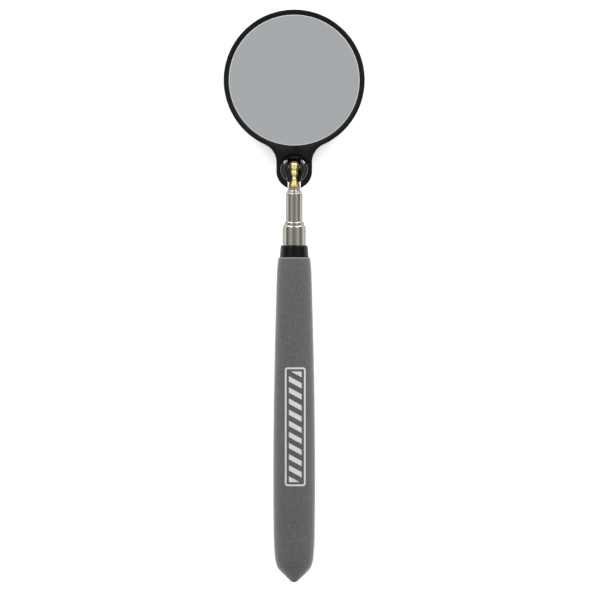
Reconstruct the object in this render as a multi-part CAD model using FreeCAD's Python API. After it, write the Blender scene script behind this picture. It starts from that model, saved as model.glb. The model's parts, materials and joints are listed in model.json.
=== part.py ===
import FreeCAD, Part
import math
import os
from FreeCAD import Vector

# Telescoping inspection mirror, lying on its back with the mirror facing up.
# Millimetres. The tool's long axis runs along Y, with the head at +Y, and +Z is up.
# A "station" is a distance along that axis from the blunt tip of the handle.
# The origin is on the ground, under the middle of the tool.

os.makedirs("parts", exist_ok=True)

# ---------------------------------------------------------------- driving dimensions

# Mirror head
glass_diameter = 57.15          # a 2 1/4 inch round mirror
glass_thickness = 2.0
glass_bevel = 0.8
frame_radius = 30.0
frame_half_thickness = 2.6
frame_edge_round = 0.7
frame_lip_radius = 28.0         # clear opening in front of the glass
frame_lip_height = 0.75
frame_floor = 1.8
pad_thickness = 0.6             # foam tape under the glass
pad_margin = 1.0                # the tape stops short of the glass's edge
back_pad_radius = 25.0          # raised flat on the frame's back
back_pad_height = 0.3
mirror_station = 213.6          # centre of the mirror

# Neck and swivel socket
neck_half_width = 7.6
neck_fillet_radius = 8.2        # hollow curve from neck to mirror ring
neck_fillet_station = 178.8
boss_station = 174.9            # centre of the round lower end
ball_station = 175.6
ball_radius = 6.35              # half-inch ball
crown_radius = 2.4              # tighter curve that flattens the ball's front
crown_start = math.radians(15)  # where it leaves the sphere, above the equator
socket_lip_radius = 6.2         # lip at the back, that flares out to the frame's back
socket_flare_radius = 7.1
socket_face_height = 1.5        # front of the boss, above the tool's axis
socket_face_end = 179.2         # the boss is lower than the frame up to this station
socket_recess_radius = 7.1      # round end of the lowered face
notch_half_width = 2.75

# Ball slot, pivot pin and brass stud
pin_station = 176.8
pin_radius = 0.8
pin_half_length = 5.9
slot_half_width = 2.875
slot_pocket_radius = 2.75
slot_top_slope = math.radians(16)
stud_shank_radius = 1.2
# Brass stud above its shank: flared base, bead (start, middle, end), barrel head
# and crown (middle, end), each a radius and a station
stud_base = [(2.35, 167.95), (2.2, 169.2), (1.85, 170.7), (1.35, 171.7), (1.15, 172.35)]
stud_bead = [(1.15, 172.6), (1.65, 173.9), (1.5, 174.95)]
stud_head = [(2.34, 175.55), (2.34, 177.4)]
stud_crown = [(1.7, 178.75), (0, 179.25)]
washer_radius = 1.7
washer_thickness = 0.45

# Tip ferrule
ferrule_bore_depth = 8.5        # from the flange's top to the foot
ferrule_flange_radius = 2.6
ferrule_flange_top = 167.9
ferrule_plug_length = 7.5

# Telescoping tubes, thickest first: outer radius, bore radius, station of the top
tube_radius = [4.925, 4.225, 3.53, 3.03, 2.56]
tube_bore = [4.525, 3.845, 3.28, 2.81, 2.26]
tube_top = [151.75, 153.4, 165.75, 166.7, 167.0]
roll_length = [1.35, 1.05, 1.15, 0.6]   # height of each rolled-in end
roll_rim_share = 0.4            # flat rim, as a share of the roll's width
roll_bulge_share = 0.2          # how far in the roll's middle is, as a share of its width
roll_bulge_rise = 0.55          # height of the roll's middle, as a share of its height
roll_mouth_share = 0.45         # straight mouth starts here, as a share of the roll's height
roll_inner_drop = 0.3           # the bore starts to narrow this far below the roll
outer_tube_foot = 27.0
tube_foot = 32.0                # all the sliding tubes stand level when pushed in
foot_lip_step = [0.2, 0.2, 0.16, 0.16]
foot_lip_length = 1.0
foot_bead_step = 0.12
foot_bead_length = 0.8
spring_length = 9.0
spring_slit = 1.0
travel_reserve = 0.5            # left between bead and rolled mouth when pulled out

# Handle
collar_top = 143.4
collar_top_radius = 5.8
collar_radius = 6.2
collar_spigot_radius = 5.43
collar_spigot_length = 18.0
collar_round = 0.5
collar_round_bulge = 0.15       # how far in the round's middle is
grip_length = 138.2
core_radius = 6.15
core_foot = 16.0
plug_spigot_length = 8.0
plug_flange_thickness = 1.5
plug_nub_radius = 1.05
plug_nub_round = [(0.735, 0.16), (1.05, 0.6)]   # middle and end of the nub's crown
tube_plug_height = 4.0
tube_plug_flange = 1.5
grip_tip_radius = 1.35
grip_tip_station = 0.35
grip_mouth_radius = 6.85
grip_mouth_round = 0.45
grip_mouth_bulge = 0.12         # how far in the round's middle is
# Grip outline from its shoulder at the tip to its mouth: radius, station
grip_outline = [
    (6.4, 5.2),
    (7.45, 7.0),
    (8.3, 11.2),
    (8.75, 21.0),
    (8.93, 43.0),
    (8.78, 68.0),
    (8.4, 92.0),
    (7.85, 115.0),
    (7.35, 132.0),
]

# Clearances
running_gap = 0.03              # sliding and turning fits
mouth_gap = 0.06                # tube in the rolled mouth of the next one
ball_gap = 0.06                 # ball in its socket
seat_gap = 0.05                 # pieces pressed or glued together
washer_gap = 0.04
end_gap = 0.1                   # friction spring between its lip and bead

# ---------------------------------------------------------------- derived places

overall_length = mirror_station + frame_radius
axis_height = max(radius for radius, station in grip_outline)
glass_radius = glass_diameter / 2
frame_back = axis_height - frame_half_thickness
frame_front = axis_height + frame_half_thickness
glass_back = frame_back + frame_floor + pad_thickness
ACROSS = Vector(1, 0, 0)
ALONG = Vector(0, 1, 0)
UP = Vector(0, 0, 1)


def along(station):
    """Y of a station."""
    return station - overall_length / 2


def at(radius, station):
    """Point of a turned profile: out along X from the tool's axis."""
    return Vector(radius, along(station), axis_height)


def straight(start, end):
    return Part.makeLine(at(*start), at(*end))


def lines(*points):
    """Straight edges from point to point, each a (radius, station)."""
    return [straight(a, b) for a, b in zip(points, points[1:])]


def curve(start, middle, end):
    """A round stretch of a profile through three (radius, station) points."""
    return Part.Arc(at(*start), at(*middle), at(*end)).toShape()


def turned(edges):
    """Solid turned about the tool's axis from the edges of a closed half profile."""
    face = Part.Face(Part.Wire(Part.__sortEdges__(edges)))
    return face.revolve(Vector(0, 0, axis_height), ALONG, 360)


def ring(outer, inner, foot, top):
    """Plain sleeve on the tool's axis."""
    start = Vector(0, along(foot), axis_height)
    sleeve = Part.makeCylinder(outer, top - foot, start, ALONG)
    return sleeve.cut(Part.makeCylinder(inner, top - foot, start, ALONG))


def upright(radius, low, high, station):
    """Cylinder standing on the frame's plane."""
    return Part.makeCylinder(radius, high - low, Vector(0, along(station), low), UP)


def flare(low_radius, high_radius, low, high, station):
    """Cone standing on the frame's plane."""
    return Part.makeCone(low_radius, high_radius, high - low, Vector(0, along(station), low), UP)


def block(half_width, low_station, high_station, low, high):
    """Box across the tool, centred on its axis."""
    corner = Vector(-half_width, along(low_station), low)
    return Part.makeBox(2 * half_width, high_station - low_station, high - low, corner)


def cross_pin(radius, half_length, station):
    """Cylinder along X through the tool's axis."""
    start = Vector(-half_length, along(station), axis_height)
    return Part.makeCylinder(radius, 2 * half_length, start, ACROSS)


def save(name, shape):
    shape = shape.removeSplitter()
    for solid in shape.Solids:
        if not solid.isValid():
            raise ValueError("bad solid in " + name)
    shape.exportStep("parts/" + name + ".step")
    print(name, len(shape.Solids), round(shape.Volume, 1))


# ---------------------------------------------------------------- mirror head


def frame_plan():
    """Outline of ring, neck and boss as one closed wire on the frame's back."""
    fillet_centre = neck_half_width + neck_fillet_radius
    reach = frame_radius / (frame_radius + neck_fillet_radius)
    drop = mirror_station - neck_fillet_station
    join_x = fillet_centre * reach
    join_station = mirror_station - drop * reach
    middle_angle = math.atan2(drop, fillet_centre) / 2
    middle_x = fillet_centre - neck_fillet_radius * math.cos(middle_angle)
    middle_station = neck_fillet_station + neck_fillet_radius * math.sin(middle_angle)

    def spot(x, station):
        return Vector(x, along(station), frame_back)

    edges = [
        Part.Arc(
            spot(-join_x, join_station),
            spot(0, mirror_station + frame_radius),
            spot(join_x, join_station),
        ).toShape(),
        Part.Arc(
            spot(-neck_half_width, boss_station),
            spot(0, boss_station - neck_half_width),
            spot(neck_half_width, boss_station),
        ).toShape(),
    ]
    for side in (-1, 1):
        neck_top = spot(side * neck_half_width, neck_fillet_station)
        neck_end = spot(side * neck_half_width, boss_station)
        hollow = spot(side * middle_x, middle_station)
        edges.append(Part.Arc(neck_top, hollow, spot(side * join_x, join_station)).toShape())
        edges.append(Part.makeLine(neck_top, neck_end))
    return Part.Wire(Part.__sortEdges__(edges))


def socket_reliefs():
    """What is left out in front of the boss: lower end, both sides and the round recess."""
    low = axis_height + socket_face_height
    inner = neck_half_width - frame_edge_round
    bulge = frame_edge_round * math.sqrt(0.5)
    clear = neck_half_width + frame_edge_round

    def spot(x, height):
        return Vector(x, along(boss_station), height)

    round_end = spot(neck_half_width, low - frame_edge_round)
    edges = [
        Part.makeLine(spot(0, low), spot(inner, low)),
        Part.Arc(
            spot(inner, low),
            spot(inner + bulge, low - frame_edge_round + bulge),
            round_end,
        ).toShape(),
        Part.makeLine(round_end, spot(clear, low - frame_edge_round)),
        Part.makeLine(spot(clear, low - frame_edge_round), spot(clear, frame_front)),
        Part.makeLine(spot(clear, frame_front), spot(0, frame_front)),
        Part.makeLine(spot(0, frame_front), spot(0, low)),
    ]
    half = Part.Face(Part.Wire(Part.__sortEdges__(edges)))
    side = half.extrude(ALONG * (socket_face_end - boss_station))
    return [
        half.revolve(spot(0, 0), UP, -180),
        side,
        side.mirror(Vector(0, 0, 0), ACROSS),
        upright(socket_recess_radius, low, frame_front, ball_station),
    ]


def mirror_frame():
    plate = Part.Face(frame_plan()).extrude(UP * (2 * frame_half_thickness))
    rims = []
    for edge in plate.Edges:
        heights = [vertex.Z for vertex in edge.Vertexes]
        if max(heights) - min(heights) < 0.001:
            rims.append(edge)
    plate = plate.makeFillet(frame_edge_round, rims)
    back = flare(
        back_pad_radius - back_pad_height,
        back_pad_radius,
        frame_back - back_pad_height,
        frame_back,
        mirror_station,
    )
    plate = plate.fuse(back)
    lip_bottom = frame_front - frame_lip_height
    pocket_floor = frame_back + frame_floor
    plate = plate.cut(upright(glass_radius + seat_gap, pocket_floor, lip_bottom, mirror_station))
    plate = plate.cut(upright(frame_lip_radius, lip_bottom, frame_front, mirror_station))
    lip_slope = flare(
        frame_lip_radius,
        frame_lip_radius + frame_lip_height,
        lip_bottom + frame_lip_height / 2,
        frame_front + frame_lip_height / 2,
        mirror_station,
    )
    plate = plate.cut(lip_slope)
    plate = plate.cut(ball_shape(ball_radius + ball_gap))
    lip_depth = math.sqrt((ball_radius + ball_gap) ** 2 - socket_lip_radius ** 2)
    back_flare = flare(
        socket_flare_radius,
        socket_lip_radius,
        frame_back,
        axis_height - lip_depth,
        ball_station,
    )
    plate = plate.cut(back_flare)
    for relief in socket_reliefs():
        plate = plate.cut(relief)
    notch = block(
        notch_half_width,
        boss_station - 2 * neck_half_width,
        ball_station - ball_radius / 2,
        frame_back,
        frame_front,
    )
    return plate.cut(notch)


def mirror_glass():
    glass_front = glass_back + glass_thickness
    disc = upright(glass_radius, glass_back, glass_front - glass_bevel, mirror_station)
    bevel = flare(
        glass_radius,
        glass_radius - glass_bevel,
        glass_front - glass_bevel,
        glass_front,
        mirror_station,
    )
    return disc.fuse(bevel)


def glass_pad():
    low = frame_back + frame_floor
    return upright(glass_radius - pad_margin, low, low + pad_thickness, mirror_station)


# ---------------------------------------------------------------- swivel


def ball_shape(radius):
    return Part.makeSphere(radius, Vector(0, along(ball_station), axis_height))


def crowned_ball():
    """The ball before it is slotted: a sphere whose front is flattened."""
    cosine = math.cos(crown_start)
    sine = math.sin(crown_start)
    shoulder = (ball_radius - crown_radius) * cosine
    crown_centre = (ball_radius - crown_radius) * sine
    top = crown_centre + crown_radius
    lower_middle = (crown_start - math.pi / 2) / 2
    upper_middle = (crown_start + math.pi / 2) / 2

    def spot(x, height):
        return Vector(x, along(ball_station), axis_height + height)

    leave = spot(ball_radius * cosine, ball_radius * sine)
    edges = [
        Part.Arc(
            spot(0, -ball_radius),
            spot(ball_radius * math.cos(lower_middle), ball_radius * math.sin(lower_middle)),
            leave,
        ).toShape(),
        Part.Arc(
            leave,
            spot(
                shoulder + crown_radius * math.cos(upper_middle),
                crown_centre + crown_radius * math.sin(upper_middle),
            ),
            spot(shoulder, top),
        ).toShape(),
        Part.makeLine(spot(shoulder, top), spot(0, top)),
        Part.makeLine(spot(0, top), spot(0, -ball_radius)),
    ]
    face = Part.Face(Part.Wire(Part.__sortEdges__(edges)))
    return face.revolve(spot(0, 0), UP, 360)


def slot_cutter():
    """The ball's slot: open below and in front, with a round pocket behind the pin."""
    back = -slot_pocket_radius
    bottom = ball_station - 2 * ball_radius
    front = 2 * ball_radius
    sine = math.sin(slot_top_slope)
    cosine = math.cos(slot_top_slope)
    leave_station = pin_station + slot_pocket_radius * cosine
    leave_height = -slot_pocket_radius * sine
    end_station = leave_station + (front - leave_height) * math.tan(slot_top_slope)
    middle_angle = (slot_top_slope + math.pi / 2) / 2
    middle_station = pin_station + slot_pocket_radius * math.cos(middle_angle)
    middle_height = -slot_pocket_radius * math.sin(middle_angle)

    def spot(station, height):
        return Vector(-slot_half_width, along(station), axis_height + height)

    edges = [
        Part.makeLine(spot(bottom, back), spot(pin_station, back)),
        Part.Arc(
            spot(pin_station, back),
            spot(middle_station, middle_height),
            spot(leave_station, leave_height),
        ).toShape(),
        Part.makeLine(spot(leave_station, leave_height), spot(end_station, front)),
        Part.makeLine(spot(end_station, front), spot(bottom, front)),
        Part.makeLine(spot(bottom, front), spot(bottom, back)),
    ]
    face = Part.Face(Part.Wire(Part.__sortEdges__(edges)))
    return face.extrude(ACROSS * (2 * slot_half_width))


def swivel_ball():
    ball = crowned_ball().cut(slot_cutter())
    return ball.cut(cross_pin(pin_radius + running_gap / 2, ball_radius, pin_station))


def pivot_pin():
    return cross_pin(pin_radius, pin_half_length, pin_station)


def pivot_washers():
    """A thin friction washer on each side of the stud's head."""
    inner = slot_half_width - washer_gap - washer_thickness
    both = []
    for side in (-1, 1):
        start = Vector(side * inner, along(pin_station), axis_height)
        disc = Part.makeCylinder(washer_radius, washer_thickness, start, ACROSS * side)
        hole = Part.makeCylinder(pin_radius + seat_gap, washer_thickness, start, ACROSS * side)
        both.append(disc.cut(hole))
    return Part.makeCompound(both)


def ball_stud():
    """Brass stud: barrel head, bead, thin neck, flared base and the shank in the ferrule."""
    shank_foot = ferrule_flange_top - ferrule_plug_length
    base_foot = stud_base[0][1]
    crown_top = stud_crown[-1]
    edges = lines((0, shank_foot), (stud_shank_radius, shank_foot), (stud_shank_radius, base_foot))
    edges += lines((stud_shank_radius, base_foot), *stud_base)
    edges += lines(stud_base[-1], stud_bead[0])
    edges.append(curve(*stud_bead))
    edges += lines(stud_bead[-1], *stud_head)
    edges.append(curve(stud_head[-1], *stud_crown))
    edges.append(straight(crown_top, (0, shank_foot)))
    stem = turned(edges)
    stem.rotate(Vector(0, 0, axis_height), ALONG, 90)
    hole = cross_pin(pin_radius + seat_gap, pin_half_length, pin_station)
    return stem.cut(hole)


def tip_ferrule():
    """Nickel plug in the thinnest tube's end, with a flange."""
    bore = stud_shank_radius + running_gap
    plug = tube_bore[-1] - running_gap
    foot = ferrule_flange_top - ferrule_bore_depth
    seat = tube_top[-1]
    return turned(lines(
        (bore, foot),
        (plug, foot),
        (plug, seat),
        (ferrule_flange_radius, seat),
        (ferrule_flange_radius, ferrule_flange_top),
        (bore, ferrule_flange_top),
        (bore, foot),
    ))


# ---------------------------------------------------------------- telescoping tubes


def rolled_end(index):
    """Edges of a tube's top, rolled in to guide the next tube, and its mouth radius."""
    radius = tube_radius[index]
    mouth = tube_radius[index + 1] + mouth_gap
    top = tube_top[index]
    start = top - roll_length[index]
    rim = (mouth + roll_rim_share * (radius - mouth), top)
    bulge_radius = radius - roll_bulge_share * (radius - rim[0])
    bulge = (bulge_radius, start + roll_bulge_rise * roll_length[index])
    mouth_foot = (mouth, start + roll_mouth_share * roll_length[index])
    inner_start = start - roll_inner_drop
    edges = [curve((radius, start), bulge, rim)]
    edges += lines(rim, (mouth, top), mouth_foot, (tube_bore[index], inner_start))
    return edges, start, inner_start


def outer_tube():
    edges, outside, inside = rolled_end(0)
    edges += lines((tube_bore[0], inside), (tube_bore[0], outer_tube_foot))
    edges += lines((tube_bore[0], outer_tube_foot), (tube_radius[0], outer_tube_foot))
    edges += lines((tube_radius[0], outer_tube_foot), (tube_radius[0], outside))
    return turned(edges)


def sliding_tube(index):
    """Tube with a lip and a bead at its foot that hold its friction spring between them."""
    radius = tube_radius[index]
    bore = tube_bore[index]
    lip = radius + foot_lip_step[index - 1]
    lip_top = tube_foot + foot_lip_length
    bead_foot = lip_top + spring_length + 2 * end_gap
    bead_top = bead_foot + foot_bead_length
    bead = radius + foot_bead_step
    if index < len(tube_radius) - 1:
        edges, outside, inside = rolled_end(index)
    else:
        outside = tube_top[index]
        inside = outside
        edges = lines((radius, outside), (bore, outside))
    edges += lines(
        (bore, inside),
        (bore, tube_foot),
        (lip, tube_foot),
        (lip, lip_top),
        (radius, lip_top),
        (radius, bead_foot),
        (bead, bead_foot + foot_bead_step),
        (bead, bead_top - foot_bead_step),
        (radius, bead_top),
        (radius, outside),
    )
    return turned(edges)


def friction_spring(index):
    """Split bronze sleeve that rubs in the bore of the tube outside it."""
    foot = tube_foot + foot_lip_length + end_gap
    outer = tube_bore[index - 1] - running_gap
    sleeve = ring(outer, tube_radius[index] + running_gap, foot, foot + spring_length)
    slit = block(spring_slit / 2, foot, foot + spring_length, axis_height, axis_height + outer)
    return sleeve.cut(slit)


def travel(index):
    """How far a sliding tube can be pulled out before its bead meets the rolled mouth."""
    mouth_start = tube_top[index - 1] - roll_length[index - 1] - roll_inner_drop
    bead_top = tube_foot + foot_lip_length + spring_length + 2 * end_gap + foot_bead_length
    return mouth_start - bead_top - travel_reserve


# ---------------------------------------------------------------- handle


def tube_plug():
    """Closes the foot of the outer tube, and the pushed-in tubes stand on it."""
    flange = tube_radius[0]
    spigot = tube_bore[0] - running_gap
    low = outer_tube_foot - tube_plug_flange
    return turned(lines(
        (0, low),
        (flange, low),
        (flange, outer_tube_foot),
        (spigot, outer_tube_foot),
        (spigot, outer_tube_foot + tube_plug_height),
        (0, outer_tube_foot + tube_plug_height),
        (0, low),
    ))


def handle_core():
    bore = tube_radius[0] + seat_gap
    counterbore_foot = grip_length - collar_spigot_length
    return turned(lines(
        (bore, core_foot),
        (core_radius, core_foot),
        (core_radius, grip_length),
        (collar_spigot_radius + running_gap, grip_length),
        (collar_spigot_radius + running_gap, counterbore_foot),
        (bore, counterbore_foot),
        (bore, core_foot),
    ))


def collar():
    bore = tube_radius[0] + seat_gap
    foot = grip_length - collar_spigot_length + seat_gap
    seat = grip_length + seat_gap
    round_start = collar_top - collar_round
    round_end = (collar_top_radius - collar_round, collar_top)
    edges = lines(
        (bore, collar_top),
        (bore, foot),
        (collar_spigot_radius, foot),
        (collar_spigot_radius, seat),
        (collar_radius, seat),
        (collar_top_radius, round_start),
    )
    edges.append(curve(
        (collar_top_radius, round_start),
        (collar_top_radius - collar_round_bulge, collar_top - collar_round_bulge),
        round_end,
    ))
    edges += lines(round_end, (bore, collar_top))
    return turned(edges)


def end_plug():
    """Plug in the foot of the core, with a nub that shows at the tip of the grip."""
    spigot = tube_radius[0]
    low = core_foot - plug_flange_thickness
    edges = [curve((0, 0), *plug_nub_round)]
    edges += lines(
        plug_nub_round[-1],
        (plug_nub_radius, low),
        (core_radius, low),
        (core_radius, core_foot),
        (spigot, core_foot),
        (spigot, core_foot + plug_spigot_length),
        (0, core_foot + plug_spigot_length),
        (0, 0),
    )
    return turned(edges)


def grip():
    """Soft tapered sleeve, thickest near its coned lower end."""
    bore = core_radius + seat_gap
    nub_bore = plug_nub_radius + seat_gap
    pocket_foot = core_foot - plug_flange_thickness - seat_gap
    round_start = (grip_mouth_radius, grip_length - grip_mouth_round)
    round_end = (grip_mouth_radius - grip_mouth_round, grip_length)
    flow = Part.BSplineCurve()
    points = [at(*point) for point in grip_outline] + [at(*round_start)]
    flow.interpolate(points)
    edges = [flow.toShape()]
    edges.append(curve(
        round_start,
        (grip_mouth_radius - grip_mouth_bulge, grip_length - grip_mouth_bulge),
        round_end,
    ))
    edges += lines(
        round_end,
        (bore, grip_length),
        (bore, pocket_foot),
        (nub_bore, pocket_foot),
        (nub_bore, grip_tip_station),
        (grip_tip_radius, grip_tip_station),
        grip_outline[0],
    )
    return turned(edges)


# ---------------------------------------------------------------- build

save("mirror_frame", mirror_frame())
save("mirror_glass", mirror_glass())
save("glass_pad", glass_pad())
save("swivel_ball", swivel_ball())
save("pivot_pin", pivot_pin())
save("pivot_washers", pivot_washers())
save("ball_stud", ball_stud())
save("tip_ferrule", tip_ferrule())
save("tube_1", outer_tube())
for index in range(1, len(tube_radius)):
    save("tube_%d" % (index + 1), sliding_tube(index))
    save("friction_spring_%d" % (index + 1), friction_spring(index))
    print("travel of tube", index + 1, round(travel(index), 2))
save("tube_plug", tube_plug())
save("handle_core", handle_core())
save("collar", collar())
save("end_plug", end_plug())
save("grip", grip())
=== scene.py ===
import json
import math

import bmesh
import bpy
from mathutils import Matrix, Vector

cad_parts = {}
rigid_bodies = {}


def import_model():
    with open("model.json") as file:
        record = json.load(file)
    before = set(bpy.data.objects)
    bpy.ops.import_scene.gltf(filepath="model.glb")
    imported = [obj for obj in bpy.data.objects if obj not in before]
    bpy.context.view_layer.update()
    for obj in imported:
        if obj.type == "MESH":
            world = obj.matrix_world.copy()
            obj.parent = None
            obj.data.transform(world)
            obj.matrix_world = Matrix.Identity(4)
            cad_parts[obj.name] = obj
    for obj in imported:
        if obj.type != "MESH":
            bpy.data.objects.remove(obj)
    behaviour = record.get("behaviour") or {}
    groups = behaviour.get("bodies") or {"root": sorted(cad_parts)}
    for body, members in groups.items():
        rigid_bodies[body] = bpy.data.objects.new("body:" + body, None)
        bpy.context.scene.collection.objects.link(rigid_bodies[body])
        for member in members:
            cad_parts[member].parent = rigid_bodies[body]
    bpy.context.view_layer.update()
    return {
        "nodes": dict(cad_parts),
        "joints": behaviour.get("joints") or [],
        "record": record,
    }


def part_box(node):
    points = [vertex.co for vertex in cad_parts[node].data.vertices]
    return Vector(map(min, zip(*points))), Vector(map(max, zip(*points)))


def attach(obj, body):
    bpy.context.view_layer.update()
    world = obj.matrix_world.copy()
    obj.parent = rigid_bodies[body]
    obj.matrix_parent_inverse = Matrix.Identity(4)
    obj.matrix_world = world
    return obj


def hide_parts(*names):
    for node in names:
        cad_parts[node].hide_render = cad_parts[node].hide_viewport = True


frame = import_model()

bl_info = {
    "name": "Telescoping inspection mirror",
    "version": (1, 0, 0),
    "blender": (4, 5, 0),
    "location": "3D View > Sidebar > Inspection mirror",
    "description": "Builds the pieces of a telescoping inspection mirror on its packed frame",
    "category": "Object",
}

# ---------------------------------------------------------------- places read from the frame

MM = 0.001
JOINTS = {joint["name"]: joint for joint in frame["joints"]}
BALL = Vector(JOINTS["tilt_frame_on_ball"]["pos_m"])
AXIS = BALL.z
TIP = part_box("end_plug")[0].y
GLASS_LOW, GLASS_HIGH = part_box("mirror_glass")
GLASS_CENTRE = (GLASS_LOW + GLASS_HIGH) / 2
SLEEVE_SEGMENTS = 128
GRIP_SEGMENTS = 160
GLASS_SEGMENTS = 256
MERGE_DISTANCE = 0.001 * MM
# degrees between two faces from which their edge stays sharp, or gets a small round
SHARP_EDGE = 30
SHARP_FRAME_EDGE = 32
SHARP_GLASS_EDGE = 8
ROUNDED_TURNED_EDGE = 28
ROUNDED_GLASS_EDGE = 30


def station(distance):
    """Y of a distance in millimetres from the handle's tip."""
    return TIP + distance * MM


# ---------------------------------------------------------------- settings


class HandleSettings(bpy.types.PropertyGroup):
    vinyl_colour: bpy.props.FloatVectorProperty(
        name="Vinyl colour",
        description="Colour of the soft sleeve",
        subtype="COLOR",
        default=(0.066, 0.067, 0.062),
    )
    collar_colour: bpy.props.FloatVectorProperty(
        name="Collar colour",
        description="Colour of the collar at the top of the handle",
        subtype="COLOR",
        default=(0.0025, 0.0025, 0.0023),
    )
    print_colour: bpy.props.FloatVectorProperty(
        name="Print colour",
        description="Colour of the printed panel",
        subtype="COLOR",
        default=(0.47, 0.48, 0.47),
    )
    print_width: bpy.props.FloatProperty(
        name="Print width",
        description="Width of the printed panel across the grip",
        default=8.8 * MM,
        unit="LENGTH",
    )
    print_length: bpy.props.FloatProperty(
        name="Print length",
        description="Length of the printed panel along the grip",
        default=50.2 * MM,
        unit="LENGTH",
    )
    print_offset: bpy.props.FloatProperty(
        name="Print offset",
        description="How far the panel's middle lies to the right of the grip's axis",
        default=0.45 * MM,
        unit="LENGTH",
    )
    print_station: bpy.props.FloatProperty(
        name="Print station",
        description="Distance of the panel's middle from the handle's tip",
        default=66.5 * MM,
        unit="LENGTH",
    )
    edge_round: bpy.props.FloatProperty(
        name="Edge round",
        description="Width of the small round on the collar's and the end plug's edges",
        default=0.08 * MM,
        unit="LENGTH",
    )


class HeadSettings(bpy.types.PropertyGroup):
    frame_colour: bpy.props.FloatVectorProperty(
        name="Frame colour",
        description="Colour of the moulded frame",
        subtype="COLOR",
        default=(0.0025, 0.0025, 0.0025),
    )
    ball_colour: bpy.props.FloatVectorProperty(
        name="Ball colour",
        description="Colour of the swivel ball",
        subtype="COLOR",
        default=(0.0025, 0.0025, 0.003),
    )
    socket_round: bpy.props.FloatProperty(
        name="Socket edge",
        description="Width of the rounds about the ball's socket",
        default=0.40 * MM,
        unit="LENGTH",
    )
    silver_colour: bpy.props.FloatVectorProperty(
        name="Silver colour",
        description="Colour of the silvered glass",
        subtype="COLOR",
        default=(0.905, 0.935, 0.95),
    )
    glass_bevel: bpy.props.FloatProperty(
        name="Glass edge",
        description="Width of the sloping border of the glass",
        default=1.05 * MM,
        unit="LENGTH",
    )
    glass_fall: bpy.props.FloatProperty(
        name="Glass fall",
        description="How far the border of the glass slopes down",
        default=0.23 * MM,
        unit="LENGTH",
    )


class MetalSettings(bpy.types.PropertyGroup):
    nickel_colour: bpy.props.FloatVectorProperty(
        name="Nickel colour",
        description="Colour of the plated tubes",
        subtype="COLOR",
        default=(0.352, 0.328, 0.296),
    )
    brass_colour: bpy.props.FloatVectorProperty(
        name="Brass colour",
        description="Colour of the turned stud",
        subtype="COLOR",
        default=(0.90, 0.75, 0.315),
    )
    bronze_colour: bpy.props.FloatVectorProperty(
        name="Bronze colour",
        description="Colour of the friction springs",
        subtype="COLOR",
        default=(0.60, 0.36, 0.20),
    )


class StageSettings(bpy.types.PropertyGroup):
    floor_colour: bpy.props.FloatVectorProperty(
        name="Floor colour",
        description="Colour of the plain floor",
        subtype="COLOR",
        default=(0.92, 0.92, 0.92),
    )
    lens: bpy.props.FloatProperty(
        name="Lens",
        description="Focal length of the camera in millimetres",
        default=200.0,
        unit="CAMERA",
    )
    field: bpy.props.FloatProperty(
        name="Field",
        description="Width of the picture at the tool",
        default=251.1 * MM,
        unit="LENGTH",
    )
    lamp_power: bpy.props.FloatProperty(
        name="Lamp power",
        description="Power in watts of a lamp whose share is one",
        default=2.2,
        unit="POWER",
    )


# ---------------------------------------------------------------- modelling helpers


def deselect():
    """Object mode with nothing selected, so that an operator acts on one piece only."""
    if bpy.context.object and bpy.context.object.mode != "OBJECT":
        bpy.ops.object.mode_set(mode="OBJECT")
    bpy.ops.object.select_all(action="DESELECT")


def pick(piece):
    deselect()
    piece.select_set(True)
    bpy.context.view_layer.objects.active = piece


def settle(piece, name):
    """Names a new piece and puts its place into its mesh."""
    pick(piece)
    piece.name = name
    piece.data.name = name
    bpy.ops.object.transform_apply(location=True, rotation=True, scale=True)
    return piece


def modify(piece, kind, **values):
    """Adds a modifier with these values and applies it."""
    pick(piece)
    modifier = piece.modifiers.new(kind.lower(), kind)
    for key, value in values.items():
        setattr(modifier, key, value)
    bpy.ops.object.modifier_apply(modifier=modifier.name)


def smooth(piece, degrees=SHARP_EDGE):
    pick(piece)
    bpy.ops.object.shade_smooth_by_angle(angle=math.radians(degrees))


def bevel_edges(piece, width, degrees):
    """Gives a small round to every edge sharper than this."""
    modify(
        piece,
        "BEVEL",
        width=width,
        segments=2,
        limit_method="ANGLE",
        angle_limit=math.radians(degrees),
    )


def select(piece, kind, test):
    """Selects, in edit mode, only the vertices, edges or faces that pass a test."""
    bpy.ops.mesh.select_mode(type=kind)
    bpy.ops.mesh.select_all(action="DESELECT")
    mesh = bmesh.from_edit_mesh(piece.data)
    items = {"VERT": mesh.verts, "EDGE": mesh.edges, "FACE": mesh.faces}[kind]
    for item in items:
        if test(item):
            item.select_set(True)
    mesh.select_flush_mode()
    bmesh.update_edit_mesh(piece.data)


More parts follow.
